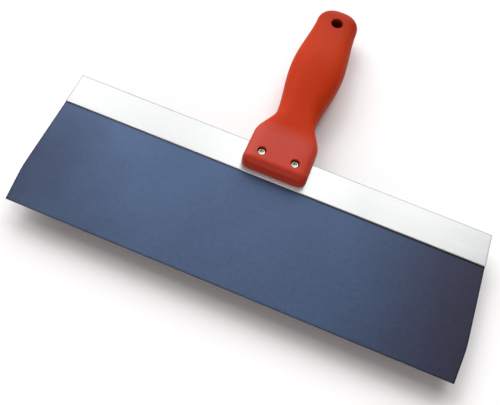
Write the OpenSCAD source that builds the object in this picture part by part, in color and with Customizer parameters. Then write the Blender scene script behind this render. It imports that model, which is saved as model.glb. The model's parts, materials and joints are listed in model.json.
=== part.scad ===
// Taping knife: a thin spring-steel blade, clamped along its top edge in a folded metal
// backing, with a moulded handle that straddles the backing and two rivets through it all.
// The knife lies flat: X runs along the working edge, +Y from the edge to the handle, +Z up.
// The origin is at the middle of the knife in plan, at the height of its lowest point.

/* [Blade] */
// Width of the blade along its working edge
blade_w = 254; // [200:1:360]
// Thickness of the blade's sheet
blade_t = 0.5; // [0.4:0.05:0.8]
// Free depth of the blade, from the backing's lip to the working edge
blade_free = 68; // [60:1:90]
// How far each side is drawn in at the working edge
relief_w = 2.4; // [1:0.1:5]
// Height of the drawn-in stretch of each side
relief_h = 20; // [10:1:35]
// Share of the free depth between the lip and the line that the blade flexes about
flex_share = 0.15; // [0.1:0.01:0.25]
// Gap between the clamped strip and the leaf's rounded nose
flex_gap = 0.1; // [0.05:0.01:0.2]

/* [Backing] */
// Height of the backing, from its lip to its folded top edge
backing_h = 20.6; // [18:0.2:24]
// Thickness of the backing's sheet
sheet_t = 0.8; // [0.6:0.1:1.2]
// Radius that breaks the outer edge of each lip
lip_r = 0.4; // [0.2:0.1:0.5]

/* [Handle] */
// Distance from the backing's lip to the front of the handle's head
head_setback = 3; // [1:0.5:4]
// Distance from the backing's lip to the far end of the handle
handle_reach = 137; // [134:0.5:150]
// Width of the head at its front
head_front_w = 39; // [34:0.2:42]
// Width of the head at its shoulders
head_w = 38.8; // [36:0.2:44]
// Width of the waist
waist_w = 24.8; // [22:0.2:28]
// Width of the grip at its fullest
grip_w = 33.8; // [32:0.2:38]
// Width where the rounded end begins
end_w = 27.2; // [24:0.2:30]
// Thickness of the head
head_t = 19; // [16:0.5:21]
// Thickness of the waist
waist_t = 18.6; // [16:0.2:20]
// Thickness of the grip at its fullest
grip_t = 24; // [22:0.5:28]
// Thickness where the rounded end begins
end_t = 17.2; // [15:0.2:20]
// Radius of the hang hole
hang_r = 3.5; // [3:0.1:4]

/* [Rivets] */
// Distance from the backing's lip up to the rivets
rivet_up = 11.8; // [10:0.1:13]
// Distance between the two rivets
rivet_pitch = 20; // [16:0.5:24]
// Radius of a rivet's shank
shank_r = 1.6; // [1.4:0.1:2]
// Radius of a rivet's set end
set_r = 2.2; // [2.1:0.1:2.4]
// Radius of the recess around each rivet end
recess_r = 2.6; // [2.5:0.1:3]
// Depth from the face of the head to the rivet's seat
seat_depth = 2.4; // [2:0.1:3]

/* [Hidden] */

// Places along the knife, all from the working edge
edge_y = -(blade_free + handle_reach) / 2;
lip_y = edge_y + blade_free;
flex_y = lip_y - blade_free * flex_share;
backing_top_y = lip_y + backing_h;
rivet_y = lip_y + rivet_up;
mid_z = grip_t / 2;

// Backing and blade
backing_total_t = blade_t + 2 * sheet_t;
root_top_y = backing_top_y - sheet_t;
round_fn = 64;
fine = 0.01;
// How far a cutting shape runs past what it cuts
past = 1;

// Stations along the handle, and how far each is from the backing's lip
shoulder_up = 24.5;
waist_up = 44;
grip_up = 85.5;
end_up = 126;
front_y = lip_y + head_setback;
shoulder_y = lip_y + shoulder_up;
waist_y = lip_y + waist_up;
grip_y = lip_y + grip_up;
end_y = lip_y + end_up;
tip_y = lip_y + handle_reach;
front_r = 4.5;

// Distance from the tip to the middle of the hang hole
hang_inset = 15.7;
hang_y = tip_y - hang_inset;

// Corner sharpness of the handle's sections: 2 is an ellipse, more is squarer
head_power = 6;
grip_power = 2.8;
// How far past the waist the sections take to reach the grip's shape
power_ease = 8;

// Rings along each stretch of the handle, and points around each ring
front_rings = 5;
head_rings = 18;
grip_rings = 10;
tip_rings = 9;
ring_points = 36;

// The rounded end is an ellipse, closed by a small flat at this angle
last_tip_angle = 84;
cap_length = (tip_y - end_y) / sin(last_tip_angle);
tip_flatten = 0.9;

hang_chamfer = 0.8;
dimple_r = 1;
dimple_depth = 0.6;
set_t = 0.8;
set_taper = 0.4;
head_r = 2.3;
head_crown = 0.9;
head_taper = 0.8;

// Ease from 0 to 1, level at both ends
function ease(t) = let (c = min(max(t, 0), 1)) c * c * (3 - 2 * c);

// Value at y between station a, value va, and station b, value vb
function between(y, a, va, b, vb) = va + (vb - va) * ease((y - a) / (b - a));

function half_width(y) =
    y < shoulder_y ? between(y, front_y, head_front_w, shoulder_y, head_w) / 2
    : y < waist_y ? between(y, shoulder_y, head_w, waist_y, waist_w) / 2
    : y < grip_y ? between(y, waist_y, waist_w, grip_y, grip_w) / 2
    : between(y, grip_y, grip_w, end_y, end_w) / 2;

function half_thick(y) =
    y < waist_y ? between(y, shoulder_y, head_t, waist_y, waist_t) / 2
    : y < grip_y ? between(y, waist_y, waist_t, grip_y, grip_t) / 2
    : between(y, grip_y, grip_t, end_y, end_t) / 2;

function power(y) = between(y, shoulder_y, head_power, waist_y + power_ease, grip_power);

// How far the front edge is rounded in at y, and how much of the end is left at y
function front_inset(y) =
    let (s = max(front_r - (y - front_y), 0)) front_r - sqrt(front_r * front_r - s * s);
function end_share(y) = let (s = max(y - end_y, 0) / cap_length) sqrt(1 - s * s);

// One coordinate of a superellipse
function super(c, p) = sign(c) * pow(abs(c), 2 / p);

function ring(y) =
    let (
        w = (half_width(y) - front_inset(y)) * end_share(y),
        t = (half_thick(y) - front_inset(y)) * (1 - tip_flatten * (1 - end_share(y))),
        p = power(y)
    )
    [for (i = [0:ring_points - 1])
        let (a = 360 * i / ring_points) [w * super(cos(a), p), y, mid_z + t * super(sin(a), p)]];

// Where the rings stand: closer together on the rounded front and the rounded end
flat_y = front_y + front_r;
ring_ys = concat(
    [for (i = [0:front_rings - 1]) flat_y - front_r * cos(90 * i / front_rings)],
    [for (i = [0:head_rings - 1]) flat_y + (grip_y - flat_y) * i / head_rings],
    [for (i = [0:grip_rings - 1]) grip_y + (end_y - grip_y) * i / grip_rings],
    [for (i = [0:tip_rings]) end_y + cap_length * sin(last_tip_angle * i / tip_rings)]
);

// A closed skin over a list of rings
module skin(rings) {
    n = len(rings[0]);
    m = len(rings);
    points = [for (r = rings) each r];
    sides = [for (j = [0:m - 2]) for (i = [0:n - 1])
        [j * n + i, (j + 1) * n + i, (j + 1) * n + (i + 1) % n, j * n + (i + 1) % n]];
    front = [for (i = [0:n - 1]) i];
    back = [for (i = [n - 1:-1:0]) (m - 1) * n + i];
    polyhedron(points, concat(sides, [front, back]), convexity = 6);
}

// Sweeps a section drawn in the YZ plane along X, centred on the knife
module along_x(length) {
    translate([0, 0, mid_z]) rotate([90, 0, 90])
        linear_extrude(length, center = true) children();
}

// The blade's outline in plan, from its working edge to the top of its clamped strip
module blade_plan() {
    polygon([
        [-blade_w / 2 + relief_w, edge_y],
        [blade_w / 2 - relief_w, edge_y],
        [blade_w / 2, edge_y + relief_h],
        [blade_w / 2, root_top_y],
        [-blade_w / 2, root_top_y],
        [-blade_w / 2, edge_y + relief_h]
    ]);
}

// Both shank holes, from z = low to z = high
module rivet_holes(radius, low, high) {
    for (side = [-1, 1])
        translate([side * rivet_pitch / 2, rivet_y, low])
            cylinder(r = radius, h = high - low, $fn = round_fn);
}

// The free part of the blade: a flat leaf whose rounded nose lies on the flexing line
module blade_leaf() {
    color("#4a5a80") intersection() {
        along_x(blade_w) {
            translate([edge_y, -blade_t / 2]) square([flex_y - edge_y, blade_t]);
            translate([flex_y, 0]) circle(r = blade_t / 2, $fn = round_fn);
        }
        linear_extrude(grip_t) blade_plan();
    }
}

// The clamped part of the blade, from the flexing line up into the fold of the backing
module blade_root() {
    bottom_y = flex_y + blade_t / 2 + flex_gap;
    color("#4a5a80") difference() {
        along_x(blade_w)
            translate([bottom_y, -blade_t / 2]) square([root_top_y - bottom_y, blade_t]);
        rivet_holes(shank_r, mid_z - blade_t, mid_z + blade_t);
    }
}

// Section of the backing without its slot: a round fold at the top, broken edges at the lip
module backing_outline() {
    r = backing_total_t / 2;
    translate([lip_y + lip_r, -r]) square([backing_h - r - lip_r, 2 * r]);
    translate([backing_top_y - r, 0]) circle(r = r, $fn = round_fn);
    translate([lip_y, -r + lip_r]) square([lip_r + fine, 2 * (r - lip_r)]);
    for (side = [-1, 1])
        translate([lip_y + lip_r, side * (r - lip_r)]) circle(r = lip_r, $fn = round_fn);
}

module backing_channel() {
    color("#e4e6e8") difference() {
        along_x(blade_w) difference() {
            backing_outline();
            translate([lip_y - past, -blade_t / 2]) square([root_top_y - lip_y + past, blade_t]);
        }
        rivet_holes(shank_r, mid_z - backing_total_t, mid_z + backing_total_t);
    }
}

module handle() {
    shaft_t = head_t / 2 - seat_depth;
    hang_half = half_thick(hang_y) - hang_chamfer;
    color("#c8371c") difference() {
        skin([for (y = ring_ys) ring(y)]);
        along_x(blade_w) backing_outline();
        rivet_holes(shank_r, mid_z - head_t, mid_z + head_t);
        rivet_holes(recess_r, mid_z + shaft_t, mid_z + head_t);
        rivet_holes(recess_r, mid_z - head_t, mid_z - shaft_t);
        translate([0, hang_y, 0]) cylinder(r = hang_r, h = grip_t, $fn = round_fn);
        for (side = [-1, 1])
            translate([0, hang_y, mid_z + side * hang_half])
                mirror([0, 0, side < 0 ? 1 : 0])
                    cylinder(r1 = hang_r, r2 = hang_r + 2 * hang_chamfer, h = 2 * hang_chamfer, $fn = round_fn);
    }
}

// A rivet: an oval head below, a shank, and a set end with a shallow dimple above
module rivet(x) {
    seat = head_t / 2 - seat_depth;
    color("#d5d8d6") translate([x, rivet_y, mid_z]) difference() {
        union() {
            translate([0, 0, -seat]) cylinder(r = shank_r, h = 2 * seat, $fn = round_fn);
            translate([0, 0, seat]) cylinder(r1 = set_r, r2 = set_r - set_taper, h = set_t, $fn = round_fn);
            translate([0, 0, -seat - head_crown])
                cylinder(r1 = head_r - head_taper, r2 = head_r, h = head_crown, $fn = round_fn);
        }
        translate([0, 0, seat + set_t - dimple_depth])
            cylinder(r = dimple_r, h = dimple_depth + past, $fn = round_fn);
    }
}

module left_rivet() {
    rivet(-rivet_pitch / 2);
}

module right_rivet() {
    rivet(rivet_pitch / 2);
}

blade_leaf();
blade_root();
backing_channel();
handle();
left_rivet();
right_rivet();
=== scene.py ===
"""A taping knife: a blued spring-steel blade in a bright folded backing, with a red moulded handle.

Lengths are in metres unless a name ends in _mm. X runs along the working edge, +Y from the edge to the
handle, and +Z up. The knife lies flat, with the underside of its grip on the floor at z = 0.
"""

import json
import math

import bmesh
import bpy
import numpy as np
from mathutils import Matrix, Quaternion, Vector


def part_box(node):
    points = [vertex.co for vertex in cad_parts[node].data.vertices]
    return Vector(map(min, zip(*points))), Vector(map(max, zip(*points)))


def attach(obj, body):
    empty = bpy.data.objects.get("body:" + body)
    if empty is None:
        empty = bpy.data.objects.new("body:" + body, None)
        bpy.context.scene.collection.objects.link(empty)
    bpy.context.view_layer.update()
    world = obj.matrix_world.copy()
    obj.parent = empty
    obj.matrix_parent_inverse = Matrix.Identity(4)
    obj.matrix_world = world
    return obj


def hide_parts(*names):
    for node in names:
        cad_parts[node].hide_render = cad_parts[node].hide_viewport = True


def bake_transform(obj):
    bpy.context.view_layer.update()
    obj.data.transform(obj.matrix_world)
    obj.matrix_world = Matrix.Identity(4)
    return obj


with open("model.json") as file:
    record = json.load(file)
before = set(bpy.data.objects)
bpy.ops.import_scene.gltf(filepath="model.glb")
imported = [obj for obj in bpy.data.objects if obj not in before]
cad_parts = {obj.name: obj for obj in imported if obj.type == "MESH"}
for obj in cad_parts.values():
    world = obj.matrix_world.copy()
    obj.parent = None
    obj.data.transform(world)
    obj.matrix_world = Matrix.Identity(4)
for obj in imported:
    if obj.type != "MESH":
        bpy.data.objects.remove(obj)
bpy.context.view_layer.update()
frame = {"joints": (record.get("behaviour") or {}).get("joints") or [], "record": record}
MM = 0.001


def middle_in_plan(node):
    """X and Y of the middle of a CAD node's box."""
    low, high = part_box(node)
    return (low.x + high.x) / 2, (low.y + high.y) / 2


# --- Places, from the frame -------------------------------------------------------------------------------
leaf_low, leaf_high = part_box("blade_leaf")
backing_low, backing_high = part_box("backing_channel")
handle_low, handle_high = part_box("handle")
FIXED_BODY = "handle_and_backing"

BLADE_W = leaf_high.x - leaf_low.x
BLADE_T = leaf_high.z - leaf_low.z
EDGE_Y = leaf_low.y
ROOT_TOP_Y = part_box("blade_root")[1].y
LIP_Y = backing_low.y
BACKING_TOP_Y = backing_high.y
BACKING_T = backing_high.z - backing_low.z
FRONT_Y = handle_low.y
TIP_Y = handle_high.y
MID_Z = (handle_low.z + handle_high.z) / 2
HINGE_Y = frame["joints"][0]["pos_m"][1]
RIVET_NODES = ("left_rivet", "right_rivet")
RIVET_PLACES = [middle_in_plan(node) for node in RIVET_NODES]

# --- Blade ------------------------------------------------------------------------------------------------
RELIEF_W = 2.4 * MM
RELIEF_H = 20 * MM
RELIEF_BLEND = 5 * MM
BLADE_EDGE_R = 0.1 * MM
BLADE_STEP = 3 * MM
BEND_STEP = 1 * MM
COLUMN_STEP = 8 * MM
RIM_ROWS = (0.4 * MM, 0.9 * MM)
# The bend is centred on the hinge, so that it ends as far below the hinge as it starts above it
BEND_TOP_Y = LIP_Y
BEND_LOW_Y = 2 * HINGE_Y - LIP_Y

# --- Backing ----------------------------------------------------------------------------------------------
LIP_R = 0.4 * MM
SLOT_CLEARANCE = 0.02 * MM
BACKING_END_R = 0.15 * MM
FOLD_STEPS = 24

# --- Handle -----------------------------------------------------------------------------------------------
SHOULDER_Y = LIP_Y + 24.5 * MM
WAIST_Y = LIP_Y + 44 * MM
GRIP_Y = LIP_Y + 85.5 * MM
END_Y = LIP_Y + 126 * MM
HEAD_FRONT_W, HEAD_W, WAIST_W, GRIP_W, END_W = (w * MM for w in (39, 38.8, 24.8, 33.8, 27.2))
HEAD_T, WAIST_T, GRIP_T, END_T = (t * MM for t in (19, 18.6, 24, 17.2))
FRONT_R = 4.5 * MM
HEAD_POWER = 6
GRIP_POWER = 2.8
POWER_END_Y = WAIST_Y + 8 * MM
TIP_FLATTEN = 0.9
LAST_TIP_ANGLE = math.radians(84)
CAP_LENGTH = (TIP_Y - END_Y) / math.sin(LAST_TIP_ANGLE)
RING_STEP = 0.9 * MM
FRONT_RINGS = 12
CAP_RINGS = 22
QUARTER_POINTS = 36
CURVE_STEPS = 360
PARTING_H = 0.12 * MM
PARTING_STEPS = (0.12 * MM, 0.3 * MM, 0.6 * MM)
# Where the ridge and its points start to shrink, on the small rings near the tip
FULL_RIDGE_W = 4 * MM
FULL_QUARTER = 40 * MM
# How far the cutters of the holes and of the slot reach past the faces that they cut
PAST_FACE = 3 * MM
PAST_FRONT = 5 * MM

# --- Hang hole, from the record's mount -------------------------------------------------------------------
HANG = next(m for m in frame["record"]["mounts"] if m["name"] == "hang_hole")
HANG_Y = HANG["pos_m"][1]
HANG_R = HANG["dims"]["r_mm"] * MM
HANG_RIM = 0.9 * MM

# --- Rivets -----------------------------------------------------------------------------------------------
SHANK_R = 1.6 * MM
SET_R = 2.2 * MM
SET_T = 0.8 * MM
SET_CORNER = 0.15 * MM
DIMPLE_R = 1.0 * MM
DIMPLE_DEPTH = 0.6 * MM
CREST_SHARE = 0.7
UNDER_HEAD_R = 2.3 * MM
UNDER_HEAD_T = 0.9 * MM
UNDER_HEAD_EDGE = 0.15 * MM
RECESS_R = 2.6 * MM
RECESS_RIM = 0.35 * MM
RECESS_CORNER = 0.25 * MM
SEAT_DEPTH = 2.4 * MM
SEAT_Z = HEAD_T / 2 - SEAT_DEPTH
LATHE_STEPS = 72

# --- Studio -----------------------------------------------------------------------------------------------
CAMERA_AT = Vector((0.02075, -0.19561, 0.30378))
CAMERA_AIM = Vector((-0.00509, -0.05108, 0.012))
CAMERA_ROLL = math.radians(12.73)
CAMERA_LENS = 42.60
HORIZON = 1.0
SKY = 0.22
FLOOR_HALF = 20
WARM = (1, 0.74, 0.70)
WHITE = (1, 1, 1)


# --- Small helpers ----------------------------------------------------------------------------------------
def ease(t):
    """From 0 to 1 along an S curve, held outside."""
    c = min(max(t, 0.0), 1.0)
    return c * c * (3 - 2 * c)


def between(y, a, at_a, b, at_b):
    """The value at y, easing from at_a at station a to at_b at station b."""
    return at_a + (at_b - at_a) * ease((y - a) / (b - a))


def spaced(start, end, step):
    """Evenly spaced numbers from start to end, both included, at most step apart."""
    count = max(1, math.ceil(abs(end - start) / step))
    return [start + (end - start) * i / count for i in range(count + 1)]


def arc(centre, radius, start, end, steps):
    """Points on an arc, its angles in degrees, both ends included."""
    angles = [math.radians(start + (end - start) * i / steps) for i in range(steps + 1)]
    return [(centre[0] + radius * math.cos(a), centre[1] + radius * math.sin(a)) for a in angles]


def to_object(name, bm):
    """Turns a bmesh into an object with outward, smooth faces."""
    bmesh.ops.recalc_face_normals(bm, faces=bm.faces[:])
    mesh = bpy.data.meshes.new(name)
    bm.to_mesh(mesh)
    bm.free()
    made = bpy.data.objects.new(name, mesh)
    bpy.context.scene.collection.objects.link(made)
    return made


def soften(bm, width, segments, angle=50):
    """Rounds every edge whose faces meet at more than the angle."""
    sharp = [e for e in bm.edges if e.is_manifold and e.calc_face_angle(0) > math.radians(angle)]
    bmesh.ops.bevel(bm, geom=sharp, offset=width, segments=segments, profile=0.5, affect="EDGES")


def loft(rings):
    """A closed bmesh skin over rings that all have the same number of points."""
    bm = bmesh.new()
    rows = [[bm.verts.new(p) for p in ring] for ring in rings]
    for low, high in zip(rows, rows[1:]):
        for i in range(len(low)):
            j = (i + 1) % len(low)
            bm.faces.new((low[i], low[j], high[j], high[i]))
    bm.faces.new(rows[0][::-1])
    bm.faces.new(rows[-1])
    return bm


def lathe(profile, x, y):
    """A bmesh turned about the vertical line through (x, y). The profile runs from axis to axis."""
    bm = bmesh.new()
    bottom = bm.verts.new((x, y, MID_Z + profile[0][1]))
    top = bm.verts.new((x, y, MID_Z + profile[-1][1]))
    rows = []
    for radius, z in profile[1:-1]:
        row = []
        for i in range(LATHE_STEPS):
            a = 2 * math.pi * i / LATHE_STEPS
            row.append(bm.verts.new((x + radius * math.cos(a), y + radius * math.sin(a), MID_Z + z)))
        rows.append(row)
    for i in range(LATHE_STEPS):
        j = (i + 1) % LATHE_STEPS
        bm.faces.new((bottom, rows[0][j], rows[0][i]))
        bm.faces.new((top, rows[-1][i], rows[-1][j]))
        for low, high in zip(rows, rows[1:]):
            bm.faces.new((low[i], low[j], high[j], high[i]))
    return bm


def cut(piece, cutter):
    """Takes the cutter's solid out of the piece, and removes the cutter."""
    modifier = piece.modifiers.new("cut", "BOOLEAN")
    modifier.operation = "DIFFERENCE"
    modifier.solver = "EXACT"
    modifier.object = cutter
    graph = bpy.context.evaluated_depsgraph_get()
    mesh = bpy.data.meshes.new_from_object(piece.evaluated_get(graph))
    piece.modifiers.clear()
    piece.data = mesh
    bpy.data.objects.remove(cutter)


def drill(piece, reach):
    """Bores the rivets' shank holes, to a reach above and below the knife's middle."""
    profile = [(0, -reach), (SHANK_R, -reach), (SHANK_R, reach), (0, reach)]
    for x, y in RIVET_PLACES:
        cut(piece, to_object("cutter", lathe(profile, x, y)))


def smooth(piece, sharp_angle=35):
    """Smooth shading, broken at the sharp edges, with flat faces kept flat."""
    for polygon in piece.data.polygons:
        polygon.use_smooth = True
    piece.data.set_sharp_from_angle(angle=math.radians(sharp_angle))
    weighted = piece.modifiers.new("flat_faces_stay_flat", "WEIGHTED_NORMAL")
    weighted.keep_sharp = True


def store(piece, name, kind, values):
    """Stores one value per vertex, for the material to read."""
    attribute = piece.data.attributes.new(name, kind, "POINT")
    key = "vector" if kind == "FLOAT_VECTOR" else "value"
    attribute.data.foreach_set(key, np.asarray(values, np.float32).ravel())


def dress(piece, material, slot, *nodes):
    """Gives a piece its material and hides the CAD nodes that it stands for. Its slot argument is not used.
    Its places at rest are stored, so that its texture stays put when it bends."""
    store(piece, "rest_place", "FLOAT_VECTOR", [v.co[:] for v in piece.data.vertices])
    piece.data.materials.clear()
    piece.data.materials.append(material)
    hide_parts(*nodes)


# --- Materials --------------------------------------------------------------------------------------------
class Nodes:
    """A short way to write a material's node tree."""

    def __init__(self, name):
        self.material = bpy.data.materials.new(name)
        self.material.use_nodes = True
        self.tree = self.material.node_tree
        self.tree.nodes.clear()
        output = self.tree.nodes.new("ShaderNodeOutputMaterial")
        self.shader = self.tree.nodes.new("ShaderNodeBsdfPrincipled")
        self.tree.links.new(self.shader.outputs["BSDF"], output.inputs["Surface"])

    def put(self, socket, value):
        """Links an output, or sets a number or colour."""
        if isinstance(value, bpy.types.NodeSocket):
            self.tree.links.new(value, socket)
        elif hasattr(value, "__len__") and len(value) == 3 and socket.type == "RGBA":
            socket.default_value = (*value, 1)
        else:
            socket.default_value = value

    def set(self, **values):
        """Sets the main shader's inputs, with _ for a space in a name."""
        for key, value in values.items():
            self.put(self.shader.inputs[key.replace("_", " ")], value)

    def place(self, stretch=(1, 1, 1)):
        """The place at rest in metres, scaled by stretch."""
        attribute = self.tree.nodes.new("ShaderNodeAttribute")
        attribute.attribute_name = "rest_place"
        mapping = self.tree.nodes.new("ShaderNodeMapping")
        mapping.inputs["Scale"].default_value = stretch
        self.tree.links.new(attribute.outputs["Vector"], mapping.inputs["Vector"])
        return mapping.outputs["Vector"]

    def along(self, axis):
        """The place at rest along one axis, in metres."""
        node = self.tree.nodes.new("ShaderNodeSeparateXYZ")
        self.tree.links.new(self.place(), node.inputs[0])
        return node.outputs[axis]

    def across_x(self):
        """The direction along the surface that lies across X, for a metal brushed along X."""
        node = self.tree.nodes.new("ShaderNodeTangent")
        node.direction_type = "RADIAL"
        node.axis = "X"
        return node.outputs["Tangent"]

    def value(self, name):
        """A number stored on the vertices."""
        attribute = self.tree.nodes.new("ShaderNodeAttribute")
        attribute.attribute_name = name
        return attribute.outputs["Fac"]

    def noise(self, size, stretch=(1, 1, 1), detail=3, roughness=0.55):
        """Noise from 0 to 1 whose features are about size across, in metres."""
        node = self.tree.nodes.new("ShaderNodeTexNoise")
        node.inputs["Scale"].default_value = 1 / size
        node.inputs["Detail"].default_value = detail
        node.inputs["Roughness"].default_value = roughness
        self.tree.links.new(self.place(stretch), node.inputs["Vector"])
        return node.outputs["Fac"]

    def cells(self, size, stretch=(1, 1, 1)):
        """Distance from scattered points, about size apart."""
        node = self.tree.nodes.new("ShaderNodeTexVoronoi")
        node.inputs["Scale"].default_value = 1 / size
        self.tree.links.new(self.place(stretch), node.inputs["Vector"])
        return node.outputs["Distance"]

    def spread(self, value, low, high, from_low=0.25, from_high=0.75):
        """Maps a value's range onto low..high, and holds it there."""
        node = self.tree.nodes.new("ShaderNodeMapRange")
        node.clamp = True
        node.inputs["From Min"].default_value = from_low
        node.inputs["From Max"].default_value = from_high
        node.inputs["To Min"].default_value = low
        node.inputs["To Max"].default_value = high
        self.put(node.inputs["Value"], value)
        return node.outputs["Result"]

    def maths(self, operation, a, b):
        """One step of arithmetic on two numbers."""
        node = self.tree.nodes.new("ShaderNodeMath")
        node.operation = operation
        self.put(node.inputs[0], a)
        self.put(node.inputs[1], b)
        return node.outputs[0]

    def product(self, *factors):
        """All the factors multiplied together."""
        result = factors[0]
        for factor in factors[1:]:
            result = self.maths("MULTIPLY", result, factor)
        return result

    def mix(self, factor, a, b):
        """From colour a at 0 to colour b at 1."""
        node = self.tree.nodes.new("ShaderNodeMix")
        node.data_type = "RGBA"
        self.put(node.inputs[0], factor)
        self.put(node.inputs[6], a)
        self.put(node.inputs[7], b)
        return node.outputs[2]

    def shade(self, colour, factor):
        """A colour made lighter or darker by a factor around 1."""
        node = self.tree.nodes.new("ShaderNodeVectorMath")
        node.operation = "SCALE"
        self.put(node.inputs[0], colour)
        self.put(node.inputs["Scale"], factor)
        return node.outputs["Vector"]

    def bump(self, height, depth, below=None):
        """A bump whose height of 1 stands depth proud, in metres."""
        node = self.tree.nodes.new("ShaderNodeBump")
        node.inputs["Strength"].default_value = 1
        node.inputs["Distance"].default_value = depth
        self.put(node.inputs["Height"], height)
        if below is not None:
            self.put(node.inputs["Normal"], below)
        return node.outputs["Normal"]


def blued_steel():
    """Satin blue-grey spring steel: faint mottling, rolling grain along X and a few specks. Painted shade
    darkens its rims, its right end and its lower left, and a painted shadow lies in the corner under the
    backing's lip, darker to the right."""
    m = Nodes("blued_spring_steel")
    cloud = m.noise(40 * MM, detail=2)
    mottle = m.noise(4 * MM, (1, 1.4, 1), detail=4, roughness=0.65)
    grain = m.noise(0.5 * MM, (0.06, 1, 1), detail=3)
    satin = m.noise(1.1 * MM, (0.6, 1, 1), detail=2)
    speck = m.spread(m.cells(9 * MM), 0.8, 1, 0.03, 0.07)
    # Painted shadow of the backing's lip: the blade darkens in the corner under it, more to the right.
    in_corner = m.spread(m.along("Y"), 0, 1, LIP_Y - 1.4 * MM, LIP_Y - 0.6 * MM)
    lip_shadow = m.product(in_corner, m.spread(m.along("X"), 0, 0.6, -30 * MM, 70 * MM))
    tone = m.product(
        m.spread(cloud, 0.94, 1.06),
        m.spread(mottle, 0.91, 1.09),
        m.spread(satin, 0.92, 1.08),
        m.spread(grain, 0.95, 1.05),
        speck,
        m.maths("SUBTRACT", 1, lip_shadow),
        # Painted shade along the blade's sides and working edge, darkest within 0.1 mm of them and gone by
        # 0.9 mm.
        m.spread(m.value("rim_distance"), 0.45, 1, 0.1 * MM, 0.9 * MM),
    )
    blue = m.mix(m.spread(mottle, 0, 1), (0.051, 0.078, 0.141), (0.057, 0.081, 0.136))
    drift = m.maths("ADD", m.along("X"), m.spread(cloud, -15 * MM, 15 * MM))
    # Painted shade: the blade darkens towards its right end, where the reflection of the light falls off.
    right_end_shade = m.mix(m.spread(drift, 0, 1, 60 * MM, 125 * MM), blue, (0.042, 0.042, 0.068))
    # Painted shade: darker towards the lower left, where the reflection falls off as well.
    low_left = m.maths("ADD", drift, m.spread(m.along("Y"), -25 * MM, 15 * MM, EDGE_Y, LIP_Y))
    tint = m.mix(m.spread(low_left, 0, 1, -150 * MM, -75 * MM), (0.036, 0.046, 0.078), right_end_shade)
    m.set(
        Base_Color=m.shade(tint, tone),
        Metallic=1.0,
        Roughness=m.maths("ADD", m.spread(mottle, 0.52, 0.60), m.spread(grain, -0.02, 0.02)),
        Normal=m.bump(grain, 0.002 * MM),
    )
    return m.material


def brushed_metal():
    """Bright strip metal, brushed along X, with faint long smears. Painted shade darkens its left end and a
    painted reflection brightens its right end; grey painted shade lies along its fold and at its two ends."""
    m = Nodes("brushed_bright_strip")
    brush = m.noise(0.4 * MM, (0.02, 1, 1), detail=4, roughness=0.6)
    smear = m.noise(6 * MM, (0.16, 1, 1), detail=3)
    # Painted shade along the fold, where it turns away from the light.
    fold = m.spread(m.along("Y"), 1, 0.42, BACKING_TOP_Y - 1.2 * MM, BACKING_TOP_Y - 0.7 * MM)
    # Painted shade towards the left end, and a painted reflection brightening the right end.
    left_shade = m.spread(m.along("X"), 0.76, 1, -BLADE_W / 2, -20 * MM)
    right_sheen = m.spread(m.along("X"), 1, 1.6, 55 * MM, BLADE_W / 2)
    # Painted shade at the strip's two ends, within 0.8 mm of them.
    to_end = m.maths("SUBTRACT", BLADE_W / 2, m.maths("ABSOLUTE", m.along("X"), 0))
    end_shade = m.spread(to_end, 0.62, 1, 0.3 * MM, 0.8 * MM)
    tone = m.product(m.spread(brush, 0.96, 1.02), m.spread(smear, 0.95, 1.03), left_shade, right_sheen, fold, end_shade)
    m.set(
        Base_Color=m.shade((0.49, 0.504, 0.50), tone),
        Metallic=0.9,
        Roughness=m.maths("ADD", m.spread(brush, 0.37, 0.43), m.spread(smear, -0.03, 0.03)),
        Anisotropic=0.75,
        Tangent=m.across_x(),
        Normal=m.bump(brush, 0.002 * MM),
    )
    return m.material


def red_plastic():
    """Satin red moulded plastic: a fine mould texture and slow changes of tone, with painted shade towards
    the tip and in the hang hole and a faint painted sheen on the head.
    """
    m = Nodes("red_moulded_plastic")
    cloud = m.noise(14 * MM, (1, 0.35, 1), detail=3)
    peel = m.noise(0.9 * MM, detail=2)
    fine = m.noise(0.25 * MM, detail=2)
    mottle = m.noise(2.5 * MM, detail=3, roughness=0.6)
    # Painted shade: darker towards the tip.
    tip = m.spread(m.along("Y"), 1, 0.8, GRIP_Y + 12 * MM, TIP_Y)
    # Painted shade in the hang hole and round its rim.
    off_axis = m.maths("SUBTRACT", m.along("Y"), HANG_Y)
    reach = m.maths("ADD", m.product(off_axis, off_axis), m.product(m.along("X"), m.along("X")))
    bore = m.spread(reach, 0.5, 1, HANG_R**2, (HANG_R + HANG_RIM) ** 2)
    tone = m.product(
        m.spread(cloud, 0.94, 1.06),
        m.spread(mottle, 0.95, 1.05),
        m.spread(peel, 0.96, 1.04),
        tip,
        bore,
    )
    grip = m.mix(m.spread(cloud, 0, 1), (0.430, 0.027, 0.003), (0.390, 0.031, 0.005))
    # The head's colour is a touch bluer than the grip's, a faint painted sheen; its specular level is
    # higher too.
    head = m.spread(m.along("Y"), 1, 0, SHOULDER_Y, SHOULDER_Y + 10 * MM)
    colour = m.mix(head, grip, (0.415, 0.029, 0.010))
    m.set(
        Base_Color=m.shade(colour, tone),
        Roughness=m.maths("ADD", m.spread(peel, 0.44, 0.52), m.spread(cloud, -0.03, 0.03)),
        Specular_IOR_Level=m.spread(head, 0.04, 0.21, 0, 1),
        IOR=1.5,
        Normal=m.bump(fine, 0.004 * MM, m.bump(peel, 0.012 * MM)),
    )
    return m.material


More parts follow.
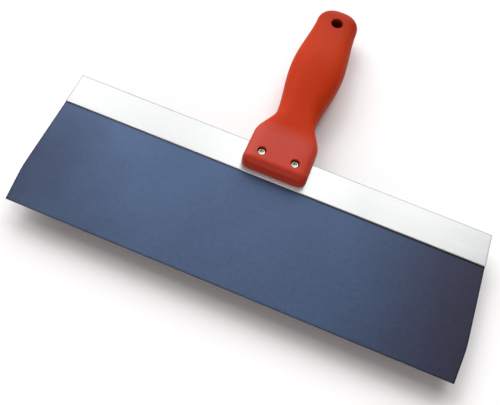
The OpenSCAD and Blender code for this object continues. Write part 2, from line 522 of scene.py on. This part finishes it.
def plated_steel():
    """Bright plated rivets, with painted shade, darker and greener, in their dimples."""
    m = Nodes("plated_rivet_steel")
    scuff = m.noise(0.6 * MM, detail=4, roughness=0.65)
    tone = m.spread(scuff, 0.88, 1.04)
    # Painted shade in each dimple: its hollow is coloured darker and greener.
    rim = m.spread(m.value("off_axis"), 0, 1, 0.5 * DIMPLE_R, 1.15 * DIMPLE_R)
    m.set(
        Base_Color=m.shade(m.mix(rim, (0.17, 0.30, 0.20), (0.46, 0.50, 0.43)), tone),
        Metallic=1.0,
        Roughness=m.spread(scuff, 0.34, 0.46),
        Normal=m.bump(scuff, 0.01 * MM),
    )
    return m.material


def floor_material():
    """Plain pale studio card."""
    m = Nodes("pale_card")
    m.set(Base_Color=(0.88, 0.88, 0.88), Roughness=0.9, Specular_IOR_Level=0.1)
    return m.material


# --- Blade ------------------------------------------------------------------------------------------------
def relief(y):
    """How far each side is drawn in at y, with the corner between the two straights rounded off."""
    reach = EDGE_Y + RELIEF_H - y
    slope = RELIEF_W / RELIEF_H
    if reach <= -RELIEF_BLEND:
        return 0.0
    if reach >= RELIEF_BLEND:
        return slope * reach
    return slope * (reach + RELIEF_BLEND) ** 2 / (4 * RELIEF_BLEND)


def blade_rows():
    """Y of the blade's rows: close together where it bends and at its working edge."""
    below = spaced(EDGE_Y + 2 * MM, BEND_LOW_Y, BLADE_STEP)
    bend = spaced(BEND_LOW_Y, BEND_TOP_Y, BEND_STEP)
    above = spaced(BEND_TOP_Y, ROOT_TOP_Y, BLADE_STEP)
    return [EDGE_Y] + [EDGE_Y + r for r in RIM_ROWS] + below + bend[1:] + above[1:]


def blade_columns():
    """Places across the blade as distances from its middle at full width."""
    half = BLADE_W / 2
    rim = [half] + [half - r for r in RIM_ROWS]
    middle = spaced(half - BLADE_STEP, -half + BLADE_STEP, COLUMN_STEP)
    return [-c for c in rim] + middle[::-1] + rim[::-1]


def blade_mesh():
    """The sheet without its holes: a grid below, a grid above, and a strip along each side."""
    bm = bmesh.new()
    rows, columns = blade_rows(), blade_columns()
    half = BLADE_W / 2
    layers = []
    for z in (MID_Z - BLADE_T / 2, MID_Z + BLADE_T / 2):
        layer = []
        for y in rows:
            share = (half - relief(y)) / half
            layer.append([bm.verts.new((c * share, y, z)) for c in columns])
        layers.append(layer)
    low, high = layers
    for j in range(len(rows) - 1):
        for i in range(len(columns) - 1):
            bm.faces.new((low[j][i], low[j + 1][i], low[j + 1][i + 1], low[j][i + 1]))
            bm.faces.new((high[j][i], high[j][i + 1], high[j + 1][i + 1], high[j + 1][i]))
    last_row, last_column = len(rows) - 1, len(columns) - 1
    for i in range(last_column):
        bm.faces.new((low[0][i], low[0][i + 1], high[0][i + 1], high[0][i]))
        bm.faces.new((low[last_row][i + 1], low[last_row][i], high[last_row][i], high[last_row][i + 1]))
    for j in range(last_row):
        bm.faces.new((low[j + 1][0], low[j][0], high[j][0], high[j + 1][0]))
        right = ((low, j), (low, j + 1), (high, j + 1), (high, j))
        bm.faces.new([layer[row][last_column] for layer, row in right])
    soften(bm, BLADE_EDGE_R, 2)
    return bm


def rim_distance(place):
    """How far a point of the blade is from its sides or its working edge."""
    side = BLADE_W / 2 - relief(place.y) - abs(place.x)
    return max(0.0, min(side, place.y - EDGE_Y))


def make_blade():
    """One sheet, from the working edge up into the fold of the backing."""
    blade = to_object("steel_blade", blade_mesh())
    drill(blade, BLADE_T * 2)
    smooth(blade)
    store(blade, "rim_distance", "FLOAT", [rim_distance(v.co) for v in blade.data.vertices])
    dress(blade, blued_steel(), "blade", "blade_leaf", "blade_root")
    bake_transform(blade)


# --- Backing ----------------------------------------------------------------------------------------------
def backing_section():
    """Outline in the YZ plane, about the blade's middle: round fold, rounded lips and a slot."""
    r = BACKING_T / 2
    slot = BLADE_T / 2 + SLOT_CLEARANCE
    fold = arc((BACKING_TOP_Y - r, 0), r, 90, -90, FOLD_STEPS)
    lower_lip = arc((LIP_Y + LIP_R, -r + LIP_R), LIP_R, 270, 180, 6)
    upper_lip = arc((LIP_Y + LIP_R, r - LIP_R), LIP_R, 180, 90, 6)
    inner = arc((ROOT_TOP_Y, 0), slot, -90, 90, 8)
    return fold + lower_lip + [(LIP_Y, -slot)] + inner + [(LIP_Y, slot)] + upper_lip


def swept(section, length):
    """The section drawn in the YZ plane, run along X and centred on the knife."""
    return loft([[(x, y, MID_Z + z) for y, z in section] for x in (-length / 2, length / 2)])


def make_backing():
    """One strip folded over the blade's top edge."""
    bm = swept(backing_section(), BLADE_W)
    sharp = [e for e in bm.edges if e.calc_face_angle(0) > math.radians(60)]
    ends = [e for e in sharp if e.verts[0].co.x == e.verts[1].co.x]
    bmesh.ops.bevel(bm, geom=ends, offset=BACKING_END_R, segments=2, profile=0.5, affect="EDGES")
    backing = to_object("folded_backing", bm)
    drill(backing, BACKING_T)
    smooth(backing)
    dress(backing, brushed_metal(), "backing", "backing_channel")
    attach(backing, FIXED_BODY)


# --- Handle -----------------------------------------------------------------------------------------------
def half_width(y):
    """Half the handle's width at y, before its front and tip are rounded."""
    if y < SHOULDER_Y:
        return between(y, FRONT_Y, HEAD_FRONT_W, SHOULDER_Y, HEAD_W) / 2
    if y < WAIST_Y:
        return between(y, SHOULDER_Y, HEAD_W, WAIST_Y, WAIST_W) / 2
    if y < GRIP_Y:
        return between(y, WAIST_Y, WAIST_W, GRIP_Y, GRIP_W) / 2
    return between(y, GRIP_Y, GRIP_W, END_Y, END_W) / 2


def half_thick(y):
    """Half the handle's thickness at y, before its front and tip are rounded."""
    if y < WAIST_Y:
        return between(y, SHOULDER_Y, HEAD_T, WAIST_Y, WAIST_T) / 2
    if y < GRIP_Y:
        return between(y, WAIST_Y, WAIST_T, GRIP_Y, GRIP_T) / 2
    return between(y, GRIP_Y, GRIP_T, END_Y, END_T) / 2


def front_inset(y):
    """How far the rounded front edge is drawn in at y."""
    s = max(FRONT_R - (y - FRONT_Y), 0)
    return FRONT_R - math.sqrt(max(FRONT_R**2 - s * s, 0))


def end_share(y):
    """How much of the section's width is left on the rounded end at y."""
    s = max(y - END_Y, 0) / CAP_LENGTH
    return math.sqrt(max(1 - s * s, 0))


def quarter(w, t, p):
    """A quarter of a superellipse from the side, (w, 0), to the top, (0, t), as evenly spaced points.
    The first few stand close together, to carry the parting line."""
    curve = []
    for i in range(CURVE_STEPS + 1):
        a = math.radians(90 * i / CURVE_STEPS)
        r = (abs(math.cos(a) / w) ** p + abs(math.sin(a) / t) ** p) ** (-1 / p)
        curve.append((r * math.cos(a), r * math.sin(a)))
    lengths = [0.0]
    for a, b in zip(curve, curve[1:]):
        lengths.append(lengths[-1] + math.dist(a, b))
    total = lengths[-1]
    first = [s * min(1, total / FULL_QUARTER) for s in PARTING_STEPS]
    wanted = [0.0] + first + spaced(first[-1], total, (total - first[-1]) / QUARTER_POINTS)[1:]
    xs = np.interp(wanted, lengths, [c[0] for c in curve])
    zs = np.interp(wanted, lengths, [c[1] for c in curve])
    return list(zip(xs, zs))


def handle_ring(y):
    """One section of the handle: four quarters, with the parting ridge on both sides."""
    w = (half_width(y) - front_inset(y)) * end_share(y)
    t = (half_thick(y) - front_inset(y)) * (1 - TIP_FLATTEN * (1 - end_share(y)))
    p = between(y, SHOULDER_Y, HEAD_POWER, POWER_END_Y, GRIP_POWER)
    points = quarter(w, t, p)
    ridge = PARTING_H * min(1, w / FULL_RIDGE_W)
    points[0] = (points[0][0] + ridge, 0.0)
    right_top = points[:-1]
    left_top = [(-x, z) for x, z in points[:0:-1]]
    left_bottom = [(-x, -z) for x, z in points[:-1]]
    right_bottom = [(x, -z) for x, z in points[:0:-1]]
    return [(x, y, MID_Z + z) for x, z in right_top + left_top + left_bottom + right_bottom]


def handle_stations():
    """Where the rings stand: by angle on the rounded front and end, and evenly between."""
    turns = [math.radians(90 * i / FRONT_RINGS) for i in range(FRONT_RINGS + 1)]
    front = [FRONT_Y + FRONT_R * (1 - math.cos(a)) for a in turns]
    body = spaced(FRONT_Y + FRONT_R, END_Y, RING_STEP)
    end = [END_Y + CAP_LENGTH * math.sin(LAST_TIP_ANGLE * i / CAP_RINGS) for i in range(CAP_RINGS + 1)]
    return front + body[1:] + end[1:]


def rim_profile(radius, face_z, rim):
    """A hole's wall at its mouth: flaring out onto the face, then clear of it."""
    flare = arc((radius + rim, face_z - rim), rim, 180, 90, 8)
    return flare + [(radius + rim, face_z + PAST_FACE)]


def mirrored(upper):
    """A cutter's profile from axis to axis, the same below the knife's middle as above it."""
    lower = [(r, -z) for r, z in upper[::-1]]
    end_z = upper[-1][1]
    return [(0, -end_z)] + lower + upper + [(0, end_z)]


def rivet_hole_profile():
    """Shank hole with a recess at each end."""
    share = RIVET_PLACES[1][0] / half_width(SHOULDER_Y)
    face_z = half_thick(FRONT_Y + 2 * FRONT_R) * (1 - share**HEAD_POWER) ** (1 / HEAD_POWER)
    corner = arc((RECESS_R - RECESS_CORNER, SEAT_Z + RECESS_CORNER), RECESS_CORNER, -90, 0, 4)
    return mirrored([(SHANK_R, SEAT_Z)] + corner + rim_profile(RECESS_R, face_z, RECESS_RIM))


def hang_hole_profile():
    """Straight bore with rounded rims."""
    return mirrored(rim_profile(HANG_R, half_thick(HANG_Y), HANG_RIM))


def slot_section():
    """The backing's outline without its own slot, a hair larger, for the handle's slot."""
    r = BACKING_T / 2 + SLOT_CLEARANCE
    fold = arc((BACKING_TOP_Y - BACKING_T / 2, 0), r, 90, -90, FOLD_STEPS)
    return fold + [(FRONT_Y - PAST_FRONT, -r), (FRONT_Y - PAST_FRONT, r)]


def make_handle():
    """One moulding, slotted for the backing, recessed for the rivets and bored to hang up."""
    handle = to_object("moulded_handle", loft([handle_ring(y) for y in handle_stations()]))
    cut(handle, to_object("cutter", swept(slot_section(), 2 * HEAD_W)))
    for x, y in RIVET_PLACES:
        cut(handle, to_object("cutter", lathe(rivet_hole_profile(), x, y)))
    cut(handle, to_object("cutter", lathe(hang_hole_profile(), 0, HANG_Y)))
    smooth(handle)
    dress(handle, red_plastic(), "handle", "handle")
    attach(handle, FIXED_BODY)


# --- Rivets -----------------------------------------------------------------------------------------------
def rivet_profile():
    """Oval head below, shank, and a set end with a shallow dimple above, from axis to axis."""
    oval_h = UNDER_HEAD_T - UNDER_HEAD_EDGE
    oval = [
        (UNDER_HEAD_R * math.sin(a), -SEAT_Z - UNDER_HEAD_EDGE - oval_h * math.cos(a))
        for a in (math.radians(90 * i / 12) for i in range(13))
    ]
    crest = (DIMPLE_R + SET_R) / 2
    half = (SET_R - DIMPLE_R) / 2
    rise = DIMPLE_DEPTH * CREST_SHARE
    roll = [
        (crest + half * math.cos(a), SEAT_Z + SET_T - rise + rise * math.sin(a))
        for a in (math.radians(180 * i / 16) for i in range(17))
    ]
    dish = [
        (DIMPLE_R * math.cos(a), SEAT_Z + SET_T - rise - (DIMPLE_DEPTH - rise) * math.sin(a))
        for a in (math.radians(90 * i / 8) for i in range(1, 9))
    ]
    shank = [(UNDER_HEAD_R, -SEAT_Z), (SHANK_R, -SEAT_Z), (SHANK_R, SEAT_Z), (SET_R - SET_CORNER, SEAT_Z)]
    return oval + shank + roll + dish


def make_rivets():
    """Both rivets, each in its own place."""
    material = plated_steel()
    for node, (x, y) in zip(RIVET_NODES, RIVET_PLACES):
        rivet = to_object("domed_" + node, lathe(rivet_profile(), x, y))
        smooth(rivet, 50)
        store(rivet, "off_axis", "FLOAT", [math.dist(v.co[:2], (x, y)) for v in rivet.data.vertices])
        dress(rivet, material, "rivets", node)
        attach(rivet, FIXED_BODY)


# --- Studio -----------------------------------------------------------------------------------------------
def make_camera():
    """A short way in front of the knife and well above it, rolled a little."""
    data = bpy.data.cameras.new("camera")
    data.lens = CAMERA_LENS
    data.sensor_width = 36
    data.clip_start = 0.01
    camera = bpy.data.objects.new("camera", data)
    camera.location = CAMERA_AT
    camera.rotation_mode = "QUATERNION"
    level = (CAMERA_AIM - CAMERA_AT).to_track_quat("-Z", "Y")
    camera.rotation_quaternion = level @ Quaternion((0, 0, 1), CAMERA_ROLL)
    bpy.context.scene.collection.objects.link(camera)
    bpy.context.scene.camera = camera


def make_light(name, turn, height, width, strength, colour=WHITE):
    """A far, round soft light. Its turn from +Y towards +X, its height over the floor and its width are
    angles in degrees."""
    data = bpy.data.lights.new(name, "SUN")
    data.angle = math.radians(width)
    data.energy = strength
    data.color = colour
    light = bpy.data.objects.new(name, data)
    light.rotation_euler = (math.radians(height - 90), 0, math.radians(-turn))
    bpy.context.scene.collection.objects.link(light)


def make_sky():
    """A soft grey sky that pales towards the horizon."""
    world = bpy.data.worlds.new("studio")
    bpy.context.scene.world = world
    world.use_nodes = True
    tree = world.node_tree
    tree.nodes.clear()
    output = tree.nodes.new("ShaderNodeOutputWorld")
    background = tree.nodes.new("ShaderNodeBackground")
    ramp = tree.nodes.new("ShaderNodeValToRGB")
    split = tree.nodes.new("ShaderNodeSeparateXYZ")
    direction = tree.nodes.new("ShaderNodeTexCoord")
    tree.links.new(direction.outputs["Generated"], split.inputs[0])
    tree.links.new(split.outputs["Z"], ramp.inputs["Fac"])
    tree.links.new(ramp.outputs["Color"], background.inputs["Color"])
    tree.links.new(background.outputs["Background"], output.inputs["Surface"])
    low, high = ramp.color_ramp.elements
    ramp.color_ramp.interpolation = "EASE"
    low.position, low.color = 0.03, (*[HORIZON] * 3, 1)
    high.position, high.color = 0.4, (*[SKY] * 3, 1)


def make_floor():
    """A level floor under the knife, at z = 0."""
    bm = bmesh.new()
    bmesh.ops.create_grid(bm, x_segments=1, y_segments=1, size=FLOOR_HALF)
    floor = to_object("floor", bm)
    floor.data.materials.append(floor_material())


make_camera()
make_blade()
make_backing()
make_handle()
make_rivets()
make_floor()
make_sky()
make_light("back", -6, 36, 48, 2.3)
make_light("left", -53, 37, 42, 2.05)
make_light("top", 0, 79, 12, 0.2)
make_light("front_fill", 185, 16, 40, 0.95, WARM)
bpy.context.scene.view_settings.view_transform = "Standard"
